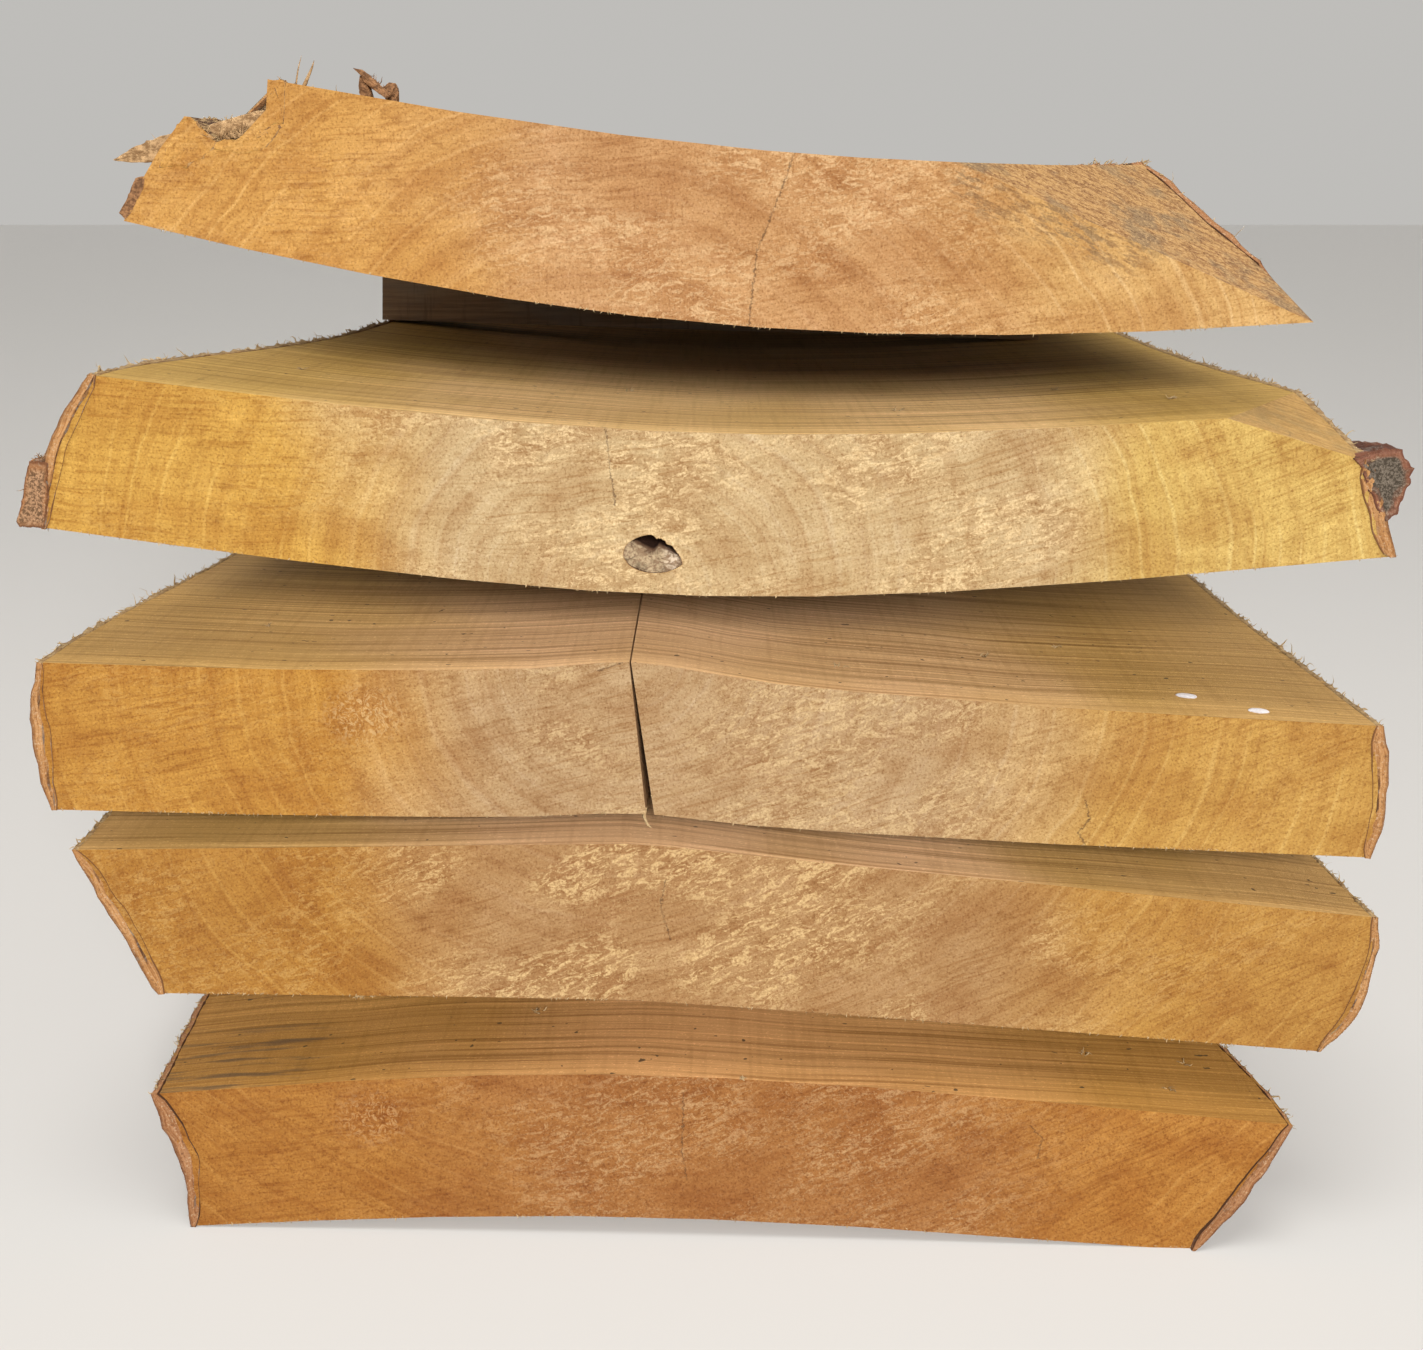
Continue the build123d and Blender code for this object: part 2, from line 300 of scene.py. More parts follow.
def face_color(t, look, place, x, y, heart, drift, stain):
    """The sawn faces: khaki, with fine saw lines across the slab."""
    face = look["face"]
    at = t.add(y, t.mul(t.add(drift, -0.5), 24))
    saw = t.noise(t.xyz(t.mul(x, 0.005), t.mul(at, 0.34), 0), 1.0, 2.0, 0.74)
    fine = t.noise(t.xyz(t.mul(x, 0.012), t.mul(at, 0.9), 4), 1.0, 2.0, 0.7)
    blotch = t.noise(place, (0.014, 0.006, 0.01), 1.0)
    grain = t.noise(place, (0.5, 0.014, 0.1), 1.0)
    color = t.mix(heart, tint(face, 1.0, 0.92, 0.68), tint(face, 1.22, 1.16, 1.30))
    color = t.shade(t.step(blotch, 0.40, 0.66, 0.0, 0.8), color, 0.84, 0.82, 0.68)
    color = t.shade(t.step(grain, 0.45, 0.75, 0.0, 0.35), color, 0.74, 0.70, 0.60)
    color = t.shade(t.step(saw, 0.50, 0.66, 0.0, 0.85), color, 0.62, 0.55, 0.46)
    color = t.shade(t.step(saw, 0.32, 0.46, 0.80, 0.0), color, 1.28, 1.32, 1.44)
    color = t.shade(t.step(fine, 0.50, 0.66, 0.0, 0.65), color, 0.72, 0.66, 0.58)
    grit = t.noise(place, 1.0, 1.0)
    color = t.shade(t.step(grit, 0.60, 0.72, 0.0, 0.6), color, 1.4, 1.5, 1.7)
    speckles = t.noise(place, 0.28, 1.0)
    color = t.mix(t.step(speckles, 0.75, 0.77, 0.0, 0.85), color, (0.06, 0.035, 0.018))
    if stain:
        streak = t.noise(t.xyz(t.mul(x, 0.03), t.mul(at, 0.22), 2), 1.0, 2.0, 0.7)
        near = t.mul(t.within(x, -180, -138, 16), t.within(y, -1010, -950, 24))
        color = t.mix(t.mul(near, t.step(streak, 0.47, 0.66, 0.0, 0.62)), color, (0.085, 0.06, 0.04))
    return color


def slab_material(name, look):
    t = Tree(f"{name}_wood")
    place = t.place()
    x, y, z = t.split(place)
    nx, ny, nz = t.facing()
    ends = t.math("ABSOLUTE", ny)
    end = t.step(ends, 0.6, 0.8)
    flat = t.step(t.math("ABSOLUTE", nz), 0.5, 0.7)

    grain_color, pits, heart, drift, ragged = end_color(t, look, place, x, y, z)
    sawn_color = face_color(t, look, place, x, y, heart, drift, name == "slab_5")
    under_bark = t.mix(t.noise(place, (0.05, 0.02, 0.05), 1.0), (0.22, 0.10, 0.045), (0.46, 0.26, 0.12))
    color = t.mix(flat, under_bark, sawn_color)
    color = t.mix(end, color, grain_color)

    if name in ("slab_1", "slab_2"):
        # the corner that was hewn off, rough and grey
        facet = t.mul(t.step(nx, 0.24, 0.32), t.within(ends, 0.17, 0.90, 0.05))
        down = t.add(t.mul(x, 0.38), t.mul(z, 0.92))
        chop = t.noise(t.xyz(t.mul(x, 0.22), t.mul(y, 0.5), t.mul(down, 0.85)), 1.0, 3.0, 0.75)
        spots = t.noise(place, 0.05, 3.0, 0.68)
        grits = t.noise(place, 1.0, 2.0, 0.72)
        hewn = t.mix(t.step(chop, 0.42, 0.60), (0.48, 0.275, 0.105), (0.29, 0.145, 0.056))
        hewn = t.mix(t.step(spots, 0.46, 0.62, 0.0, 0.60), hewn, (0.21, 0.15, 0.09))
        hewn = t.shade(t.step(grits, 0.54, 0.68, 0.0, 0.8), hewn, 0.52, 0.44, 0.36)
        hewn = t.mix(t.step(grits, 0.34, 0.46, 0.6, 0.0), hewn, (0.60, 0.38, 0.17))
        color = t.mix(facet, color, hewn)
        if name == "slab_1":
            beside = t.mul(t.line(ragged, (80, 334), (120, 318), 16), t.step(chop, 0.44, 0.58, 0.0, 0.65))
            color = t.mix(t.mul(beside, end), color, hewn)
    if name == "slab_1":
        notch = t.mul(t.within(x, -153, -124, 1), t.within(y, FRONT + 0.8, -918, 0.5))
        notch = t.mul(notch, t.within(z, 344, 400, 1))
        fibrous = t.noise(place, (0.5, 0.06, 0.7), 2.0, 0.75)
        color = t.mix(notch, color, t.mix(t.step(fibrous, 0.40, 0.60), (0.11, 0.055, 0.028), (0.46, 0.30, 0.14)))
    if name == "slab_2":
        # painted shade: the walls of the rotted hole behind the front end are darkened nearly to black
        rot_hole_shade = t.mul(t.within(x, ROT_MIDDLE[0] - 11, ROT_MIDDLE[0] + 11, 0.5),
                    t.within(z, ROT_MIDDLE[1] - 8, ROT_MIDDLE[1] + 8, 0.5))
        rot_hole_shade = t.mul(rot_hole_shade, t.within(y, FRONT + 0.5, -900, 0.5))
        color = t.mix(rot_hole_shade, color, t.mix(t.noise(place, 0.4, 1.0), (0.03, 0.012, 0.006), (0.12, 0.06, 0.03)))

    return t.finish(color, t.step(drift, 0.3, 0.7, 0.66, 0.80), t.bump(pits, 0.7, 0.0005))


def bark_material(name, deep, light, core=None, dark_rim=False):
    """Bark. Its UV map holds the share of the way out through it, and the way along."""
    t = Tree(name)
    place = t.place()
    nx, ny, nz = t.facing()
    end = t.step(t.math("ABSOLUTE", ny), 0.50, 0.72)
    out, along, _ = t.split(t.node("ShaderNodeUVMap", uv_map="layers").outputs[0])

    long = t.noise(place, (0.10, 0.02, 0.10), 4.0, 0.68, 0.8)
    fine = t.noise(place, 0.45, 3.0, 0.72)
    scales = t.noise(place, (0.22, 0.07, 0.30), 3.0, 0.7, 1.0)
    skin = t.mix(t.step(long, 0.38, 0.62), tint(deep, 0.75, 0.75, 0.75), tint(light, 0.72, 0.62, 0.55))
    skin = t.mix(t.step(scales, 0.52, 0.64, 0.0, 0.7), skin, (0.30, 0.25, 0.20))
    skin = t.mix(t.step(fine, 0.54, 0.72, 0.0, 0.7), skin, tint(deep, 0.45, 0.45, 0.45))
    skin = t.mix(t.step(t.noise(place, 0.05, 1.0), 0.56, 0.70, 0.0, 0.45), skin, (0.36, 0.33, 0.28))
    rim = t.mul(t.step(nz, 0.35, 0.75), t.step(out, 0.97, 0.995, 1.0, 0.0))
    skin = t.mix(rim, skin, t.mix(t.step(fine, 0.40, 0.60), (0.48, 0.33, 0.16), (0.30, 0.18, 0.08)))

    wave = t.noise(t.xyz(t.mul(out, 1.5), t.mul(along, 0.35), 0), 1.0, 2.0, 0.6)
    layer = t.noise(t.xyz(t.add(t.mul(out, 7.0), t.mul(wave, 3.0)), t.mul(along, 0.10), 0), 1.0, 3.0, 0.7)
    cut = t.mix(t.step(layer, 0.40, 0.60), tint(light, 0.80, 0.66, 0.52), tint(light, 1.12, 1.10, 1.08))
    grains = t.noise(place, 1.1, 3.0, 0.75)
    cut = t.mix(t.step(grains, 0.55, 0.68, 0.0, 0.75), cut, (0.66, 0.48, 0.30))
    cut = t.mix(t.step(grains, 0.34, 0.44, 0.65, 0.0), cut, deep)
    cut = t.mix(t.step(out, 0.80, 1.0, 0.0, 0.75), cut, tint(deep, 0.9, 0.8, 0.75))
    if core:
        speckled = t.mix(t.step(grains, 0.44, 0.58), tint(core, 0.35, 0.33, 0.30), core)
        cut = t.mix(t.step(t.add(out, t.mul(t.add(wave, -0.5), 0.8)), 0.62, 0.90, 1.0, 0.0), cut, speckled)
    else:
        # the band next to the wood is painted dark: the bark's dark inner layer, with painted shade of the gap
        # between bark and wood
        gap = t.step(t.add(out, t.mul(t.add(wave, -0.5), 0.16)), 0.06, 0.18, 1.0, 0.0)
        cut = t.mix(gap, cut, (0.075, 0.03, 0.012) if dark_rim else (0.20, 0.085, 0.03))
    if dark_rim:
        end = t.math("MAXIMUM", end, t.mul(t.step(out, 0.93, 0.98, 1.0, 0.0), t.step(nz, 0.2, 0.5)))
    color = t.mix(end, skin, cut)
    relief = t.bump(t.add(scales, t.mul(fine, 0.6)), 0.9, 0.0016)
    return t.finish(color, 0.86, relief)


def spacer_material():
    t = Tree("spacer_sawn")
    place = t.place()
    grain = t.noise(place, (0.02, 0.5, 0.6), 5.0, 0.68, 0.6)
    blotch = t.noise(place, (0.02, 0.05, 0.05), 3.0)
    saw = t.noise(place, (0.5, 0.03, 0.03), 3.0, 0.7)
    color = t.mix(t.step(grain, 0.34, 0.66), (0.52, 0.34, 0.19), (0.31, 0.185, 0.10))
    color = t.mix(t.step(blotch, 0.42, 0.64, 0.0, 0.6), color, (0.38, 0.31, 0.23))
    color = t.mix(t.step(saw, 0.54, 0.70, 0.0, 0.4), color, (0.20, 0.125, 0.07))
    return t.finish(color, 0.8, t.bump(t.add(grain, t.mul(saw, 0.6)), 0.6, 0.0007))


def fibre_material(name, light, dark, streak=(0.25, 0.25, 0.25)):
    t = Tree(name)
    place = t.place()
    tone = t.noise(place, streak, 5.0, 0.72)
    color = t.mix(t.step(tone, 0.38, 0.62), dark, light)
    color = t.mix(t.step(t.noise(place, 1.2, 3.0, 0.7), 0.56, 0.70, 0.0, 0.5), color, tint(dark, 0.5, 0.45, 0.4))
    return t.finish(color, 0.86, t.bump(tone, 0.6, 0.0008))


def rot_material():
    """Crumbled heartwood, pale at the mouth of the hole, with painted shade darkening it towards black deeper inside.
    """
    t = Tree("fibre_rotten")
    place = t.place()
    x, y, _ = t.split(place)
    crumb = t.noise(place, (0.5, 0.3, 0.6), 4.0, 0.68, 1.0)
    threads = t.noise(place, (0.7, 0.3, 1.7), 3.0, 0.7, 1.6)
    light = t.mix(t.step(x, -17, -13), (0.58, 0.44, 0.27), (0.76, 0.62, 0.46))
    color = t.mix(t.step(crumb, 0.40, 0.58), (0.34, 0.22, 0.125), light)
    color = t.mix(t.step(threads, 0.54, 0.66, 0.0, 0.7), color, (0.15, 0.075, 0.04))
    # painted shade: the deeper behind the front end, the darker, near black at the back of the hole
    color = t.mix(t.step(y, FRONT + 2.2, FRONT + 4.6, 0.0, 0.85), color, (0.13, 0.06, 0.032))
    color = t.mix(t.step(y, FRONT + 4.8, FRONT + 8.0), color, (0.03, 0.012, 0.006))
    return t.finish(color, 0.9, t.bump(t.add(crumb, threads), 0.7, 0.0009))


bark = bark_material("bark_tan", deep=(0.17, 0.075, 0.035), light=(0.52, 0.29, 0.12))
red_bark = bark_material("bark_red", deep=(0.13, 0.05, 0.026), light=(0.42, 0.215, 0.10), dark_rim=True)
flake_bark = bark_material("bark_flake", deep=(0.15, 0.06, 0.03), light=(0.46, 0.235, 0.105), core=(0.52, 0.30, 0.16))
grey_bark = bark_material("bark_grey", deep=(0.15, 0.06, 0.038), light=(0.34, 0.155, 0.095), core=(0.22, 0.175, 0.13))
curl_bark = fibre_material("bark_curl", (0.44, 0.225, 0.10), (0.17, 0.08, 0.036), (0.6, 0.4, 0.8))
pale_fibre = fibre_material("fibre_pale", (0.66, 0.49, 0.27), (0.40, 0.26, 0.12))
torn_wood = fibre_material("fibre_torn", (0.64, 0.42, 0.21), (0.30, 0.165, 0.07), (0.5, 0.2, 0.7))
rotten = rot_material()
white_mark = fibre_material("chalk_mark", (0.80, 0.76, 0.76), (0.70, 0.64, 0.62))
sawn_spacer = spacer_material()

for name, node in nodes.items():
    node.data.materials.clear()
    node.data.materials.append(slab_material(name, LOOKS[name]) if name in LOOKS else sawn_spacer)


# The frame's shape, read from its slabs

class Slab:
    """Cuts through one slab of the frame, and points on its skin."""

    def __init__(self, name):
        mesh = nodes[name].data
        mesh.calc_loop_triangles()
        self.points = np.array([v.co for v in mesh.vertices])
        corners = np.array([list(t.vertices) for t in mesh.loop_triangles])
        self.corners = self.points[corners]
        self.skin = BVHTree.FromPolygons(self.points.tolist(), corners.tolist())

    def cut(self, y):
        """Line pieces, as pairs of (x, z), where the plane at y meets the slab."""
        ahead = self.corners[:, :, 1] - y
        met = self.corners[(ahead.min(1) < 0) & (ahead.max(1) > 0)]
        side = met[:, :, 1] - y
        side = np.where(side == 0, 1e-9, side)
        ends = []
        for a, b in ((0, 1), (1, 2), (2, 0)):
            crossing = side[:, a] * side[:, b] < 0
            share = np.where(crossing, side[:, a] / (side[:, a] - side[:, b] + 1e-18), 0)
            at = met[:, a] + (met[:, b] - met[:, a]) * share[:, None]
            ends.append(np.where(crossing[:, None], at[:, [0, 2]], np.nan))
        pairs = [row[~np.isnan(row[:, 0])] for row in np.stack(ends, 1)]
        return np.array([pair for pair in pairs if len(pair) == 2])

    def front(self, side):
        """Where the slab's front end is, at its left (-1) or right (1) edge."""
        across = self.points[:, 0] * side
        return self.points[across > across.max() * 0.9][:, 1].min()

    def back(self):
        return self.points[:, 1].max()

    def top(self, x, y):
        """The point of the upper face at (x, y), and the way that it faces."""
        hit, facing, _, _ = self.skin.ray_cast(Vector((x, y, 1.0)), Vector((0, 0, -1)))
        return hit, facing


def extreme(pieces, degrees):
    flat = pieces.reshape(-1, 2)
    way = np.array([math.cos(math.radians(degrees)), math.sin(math.radians(degrees))])
    return flat[np.argmax(flat @ way)]


def edge_path(pieces, side, count):
    """Points down a slab's live edge, and the way that is outward there."""
    top = extreme(pieces, 90 - side * 36)
    low = extreme(pieces, 270 + side * 30)
    length = np.linalg.norm(low - top)
    along = (low - top) / length
    outward = np.array([-along[1], along[0]])
    if outward[0] * side < 0:
        outward = -outward
    s = (pieces - top) @ along
    u = (pieces - top) @ outward
    path = []
    for i in range(count):
        at = length * min(max(i / (count - 1), 0.004), 0.996)
        crossing = (s[:, 0] - at) * (s[:, 1] - at) <= 0
        reach = 0.0
        if crossing.any():
            span = s[crossing, 1] - s[crossing, 0]
            span = np.where(span == 0, 1, span)
            share = (at - s[crossing, 0]) / span
            reach = (u[crossing, 0] + (u[crossing, 1] - u[crossing, 0]) * share).max()
        path.append(top + along * at + outward * reach)
    return np.array(path), outward


def heights(pieces, x):
    """The lowest and highest point of a cut at x."""
    a, b = pieces[:, 0], pieces[:, 1]
    crossing = (a[:, 0] - x) * (b[:, 0] - x) <= 0
    if not crossing.any():
        return None
    a, b = a[crossing], b[crossing]
    span = b[:, 0] - a[:, 0]
    z = a[:, 1] + (b[:, 1] - a[:, 1]) * (x - a[:, 0]) / np.where(span == 0, 1, span)
    return z.min(), z.max()


def rough(x, y, z, scale, octaves=3):
    """Noise about 0, mostly between -1 and 1; scale is in waves for each metre."""
    return noise.fractal(Vector((x, y, z)) * scale, 0.9, 2.1, octaves)


slabs = {name: Slab(name) for name in LOOKS}


# Pieces in mesh code

class Shape:
    """Points and faces gathered into one piece, with a UV for each point."""

    def __init__(self):
        self.verts, self.faces, self.uvs, self.flat = [], [], [], set()

    def point(self, place, uv=(0.5, 0.0)):
        self.verts.append(tuple(place))
        self.uvs.append(uv)
        return len(self.verts) - 1

    def face(self, *corners, flat=False):
        if flat:
            self.flat.add(len(self.faces))
        self.faces.append(corners)

    def strand(self, points, radius, sides=3, squash=1.0, tip=0.08):
        """A thin strand through the points, tapering to its tip."""
        points = [Vector(p) for p in points]
        last = len(points) - 1
        rings = []
        for i, point in enumerate(points):
            ahead = points[min(i + 1, last)] - points[max(i - 1, 0)]
            across = ahead.cross(Vector((0.31, 0.22, 0.93)))
            if across.length < 1e-9:
                across = Vector((1, 0, 0))
            across.normalize()
            up = across.cross(ahead).normalized()
            size = radius * (tip + (1 - tip) * (1 - i / last) ** 0.7)
            ring = []
            for k in range(sides):
                turn = 2 * math.pi * k / sides
                ring.append(self.point(point + across * math.cos(turn) * size
                                       + up * math.sin(turn) * size * squash, (k / sides, i)))
            rings.append(ring)
        for a, b in zip(rings, rings[1:]):
            for k in range(sides):
                self.face(a[k], a[(k + 1) % sides], b[(k + 1) % sides], b[k])
        self.face(*rings[0][::-1], flat=True)
        self.face(*rings[-1], flat=True)

    def hair(self, start, way, length, radius, curl=0.5, steps=4, **shape):
        """A strand that grows from start the way that it is sent, and wanders."""
        way = Vector(way).normalized()
        points = [Vector(start)]
        for _ in range(steps):
            points.append(points[-1] + way * (length / steps))
            stray = Vector([draw.uniform(-1, 1) for _ in range(3)])
            way = (way + stray * curl).normalized()
        lowest = 0.0006
        for p in points:
            p.z = max(p.z, lowest)
        self.strand(points, radius, **shape)

    def chunk(self, outline, front, depth, relief, seed, wave=0.0011):
        """A rough lump with this outline, (x, z), running back from its uneven front."""
        taper, rings = 0.35, 9
        outline = [Vector((x, z)) * MM for x, z in outline]
        edge = []
        for a, b in zip(outline, outline[1:] + outline[:1]):
            cuts = max(1, round((b - a).length / 0.0008))
            edge += [a + (b - a) * k / cuts for k in range(cuts)]
        middle = sum(edge, Vector((0, 0))) / len(edge)
        count = len(edge)

        def ring(y, grow, out, lifting):
            made = []
            for p in edge:
                way = p - middle
                place = middle + way * grow
                bump = rough(place.x, y, place.y + seed, 380) * relief
                place = place + way.normalized() * bump * min(grow, 1.0)
                lift = rough(place.x, seed, place.y, 420) * lifting
                made.append(self.point((place.x, y + lift, max(place.y, 0.0002)), (out, place.y * 300)))
            return made

        levels = [ring(front - 0.0002 * (1 - g), g, g, wave) for g in (0.15, 0.4, 0.65, 0.86)]
        levels += [ring(front + depth * k / (rings - 1), 1 - taper * (k / (rings - 1)) ** 2, 1.0,
                        wave * 0.5 if k == 0 else 0.0) for k in range(rings)]
        levels.append(ring(front + depth + 0.0015, (1 - taper) * 0.4, 1.0, 0.0))
        heart = self.point((middle.x, front, middle.y), (0.0, 0.0))
        tail = self.point((middle.x, front + depth + 0.002, middle.y), (1.0, 0.0))
        for k in range(count):
            self.face(heart, levels[0][(k + 1) % count], levels[0][k])
            self.face(tail, levels[-1][k], levels[-1][(k + 1) % count])
            for a, b in zip(levels, levels[1:]):
                self.face(a[k], a[(k + 1) % count], b[(k + 1) % count], b[k])

    def make(self, name, material, slot):
        mesh = bpy.data.meshes.new(name)
        mesh.from_pydata(self.verts, [], self.faces)
        layer = mesh.uv_layers.new(name="layers")
        uvs = np.array(self.uvs)[[loop.vertex_index for loop in mesh.loops]]
        layer.data.foreach_set("uv", uvs.astype(np.float32).ravel())
        mesh.polygons.foreach_set("use_smooth", [i not in self.flat for i in range(len(self.faces))])
        mesh.materials.append(material)
        mesh.update()
        piece = bpy.data.objects.new(name, mesh)
        bpy.context.scene.collection.objects.link(piece)
        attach(piece, "root")
        return piece


# Bark along the live edges: its thickness, relief and the depth of the dark gap
# between it and the wood on the front end, in millimetres, and its material
BARK = {
    ("slab_1", -1): (1.8, 0.6, 0.2, bark), ("slab_1", 1): (6.5, 0.8, 0.4, red_bark),
    ("slab_2", -1): (5.0, 1.3, 2.5, bark), ("slab_2", 1): (5.8, 1.0, 0.6, bark),
    ("slab_3", -1): (4.2, 0.9, 1.5, bark), ("slab_3", 1): (4.4, 1.0, 1.5, bark),
    ("slab_4", -1): (4.6, 0.9, 2.0, bark), ("slab_4", 1): (3.4, 1.1, 1.5, bark),
    ("slab_5", -1): (5.0, 1.6, 1.5, red_bark), ("slab_5", 1): (3.6, 0.9, 1.5, red_bark),
}
PATH_POINTS = 17
BARE_BELOW = 0.309              # slab 1 has no bark on its right where its edge is lower
BARE_FRONT = 0.030              # nor on its left this near the front
CAP_SHARES = (0.0, 0.14, 0.24, 0.45, 0.7, 0.88)


def bark_ring(pieces, side, y, thickness, relief, seed, thin):
    """Points out over the bark and back through the wood, at one place along a slab."""
    path, outward = edge_path(pieces, side, PATH_POINTS)
    if np.linalg.norm(path[0] - path[-1]) < 0.006:
        return None
    outer, inner = [], []
    for i, (x, z) in enumerate(path):
        swell = rough(x * 0.6, y * 0.35, z + seed, 90) * relief
        swell += rough(x, y * 0.5, z + seed, 300, 2) * relief * 0.4
        lift = 0.0006 + max(swell, -0.0005)
        outer.append([x + outward[0] * lift, z + outward[1] * lift])
        fullness = thin + (1 - thin) * math.sin(math.pi * i / (PATH_POINTS - 1)) ** 0.6
        depth = thickness * fullness * (1 + 0.3 * rough(x, y * 0.5, z + seed, 70, 2))
        inner.append([x - outward[0] * depth, z - outward[1] * depth])
    for end, which in ((0, 1), (PATH_POINTS - 1, 0)):
        bounds = heights(pieces, inner[end][0])
        if bounds:
            inner[end][1] = bounds[which]
    # the rims stand a little over the sawn faces, unevenly
    rim = 0.0004 + 0.0012 * max(rough(0.3, y, seed, 190, 4), -0.3)
    foot = 0.0003 + 0.0007 * max(rough(0.7, y, seed, 190, 4), -0.3)
    outer[0][1] += rim
    inner[0][1] += rim * 0.5
    outer[-1][1] = max(outer[-1][1] - foot, 0.0002)
    inner[-1][1] = max(inner[-1][1] - foot * 0.5, 0.0002)
    return np.array(outer), np.array(inner)


def bark_strip(name, side, thickness, relief, gap, material):
    """The bark along one live edge; returns its upper and lower rims."""
    slab = slabs[name]
    start, stop = slab.front(side), slab.back()
    places = [start + (BARE_FRONT if name == "slab_1" and side < 0 else 0.0004)]
    while places[-1] < stop - 0.006:
        places.append(min(places[-1] + (0.0030 if places[-1] < start + 0.25 else 0.0065), stop - 0.0004))
    seed = 10 * side + int(name[-1]) * 3.7
    bare = name == "slab_1" and side > 0
    thin = 0.8 if bare else 0.3
    shape = Shape()
    rings, rims = [], ([], [])
    for y in places:
        pieces = slab.cut(max(y, start + 0.0025))
        if not len(pieces):
            continue
        # the bark is lost where the hewn corner comes down to the tip
        kept = (extreme(pieces, 54)[1] - BARE_BELOW) / 0.008 if bare else 1.0
        if kept <= 0:
            continue
        made = bark_ring(pieces, side, y, thickness * min(kept, 1.0), relief, seed, thin)
        if made is None:
            continue
        outer, inner = made
        at = y if rings else y - 0.0010
        ring = [shape.point((x, at, z), (1.0, i)) for i, (x, z) in enumerate(outer)]
        ring += [shape.point((x, at, z), (0.0, PATH_POINTS - 1 - i)) for i, (x, z) in enumerate(inner[::-1])]
        if not rings:
            first, begin = (outer, inner), y
        rings.append(ring)
        rims[0].append((outer[0][0], y, outer[0][1]))
        rims[1].append((outer[-1][0], y, outer[-1][1]))
    size = PATH_POINTS * 2
    for a, b in zip(rings, rings[1:]):
        for i in range(size):
            j = (i + 1) % size
            shape.face(*((a[i], a[j], b[j], b[i]) if side > 0 else (a[i], b[i], b[j], a[j])))

    # the cut end: layers with a dark gap beside the wood, and ragged all over
    outer, inner = first
    columns = [rings[0][::-1][:PATH_POINTS]]
    for share in CAP_SHARES[1:]:
        column = []
        for i in range(PATH_POINTS):
            x, z = inner[i] + (outer[i] - inner[i]) * share
            hollow = gap * math.sin(math.pi * i / (PATH_POINTS - 1)) if share < 0.3 else 0.0
            y = begin - 0.0010 - 0.0009 * rough(x, 0.0, z + seed, 520) + hollow
            column.append(shape.point((x, y, z), (share, i)))
        columns.append(column)
    columns.append(rings[0][:PATH_POINTS])
    for a, b in zip(columns, columns[1:]):
        for i in range(PATH_POINTS - 1):
            quad = (a[i], b[i], b[i + 1], a[i + 1])
            shape.face(*(quad if side < 0 else quad[::-1]), flat=True)
    back = rings[-1]
    for i in range(PATH_POINTS - 1):
        quad = (back[i], back[i + 1], back[size - 2 - i], back[size - 1 - i])
        shape.face(*(quad if side > 0 else quad[::-1]), flat=True)
    label = "left" if side < 0 else "right"
    shape.make(f"{name}_bark_{label}", material, "bark")
    return rims


def fringe(shape, rim, side, upward):
    """Torn fibres along a rim of the bark, thicker towards the front."""
    start = rim[0][1]
    at = 0.0
    for x, y, z in rim:
        spacing = 0.0016 if y < start + 0.45 else 0.0060
        while at <= y - start:
            tuft = rough(0.4, start + at, side + upward, 55)
            at += spacing * draw.uniform(0.4, 1.6) * (0.6 if tuft > 0.1 else 1.8)
            way = (side * draw.uniform(-0.2, 1.2), draw.uniform(-1.1, 0.9), upward * draw.uniform(-0.1, 0.7))
            length = draw.uniform(0.0008, 0.0031) * (1.9 if draw.random() < 0.12 else 1.0)
            place = (x - side * 0.0004, y + draw.uniform(-0.0015, 0.0015), z - upward * 0.0003)
            shape.hair(place, way, length, draw.uniform(0.00018, 0.00048), curl=0.75,
                       squash=draw.choice((1.0, 0.4)))


def end_fringe(shape, slab):
    """Short fibres that the saw left hanging from the lower arris of the front end."""
    y = slab.front(1)
    pieces = slab.cut(max(y, slab.front(-1)) + 0.0006)
    left, right = pieces[:, :, 0].min(), pieces[:, :, 0].max()
    x = left + 0.003
    while x < right - 0.002:
        x += draw.uniform(0.0006, 0.0030) * (0.5 if rough(x, y, 0.3, 30) > 0.05 else 1.6)
        bounds = heights(pieces, x)
        if not bounds:
            continue
        way = (draw.uniform(-0.8, 0.8), -draw.uniform(0.1, 0.6), -draw.uniform(0.2, 1.0))
        at = (x, -2.0, bounds[0] + 0.0006)
        hit = slab.skin.ray_cast(Vector(at), Vector((0, 1, 0)))[0]
        if not hit:
            continue
        low = hit + Vector((0, 0.0003, 0))
        shape.hair(low, way, draw.uniform(0.0006, 0.0017), draw.uniform(0.0002, 0.0005), curl=0.4,
                   steps=3, squash=0.5)


fibres = {name: Shape() for name in LOOKS}
for (name, side), (thickness, relief, gap, material) in BARK.items():
    upper, lower = bark_strip(name, side, thickness * MM, relief * MM, gap * MM, material)
    fringe(fibres[name], upper, side, 1)
    fringe(fibres[name], lower[::2], side, -1)
for name, slab in slabs.items():
    end_fringe(fibres[name], slab)


# Slab 1: the splintered corner, upright slivers, the curl and flake of bark

def at_front(x, z, back=0.0):
    """A point by its place on the front end in millimetres, and how far behind it."""
    return Vector((x, FRONT + back, z)) * MM


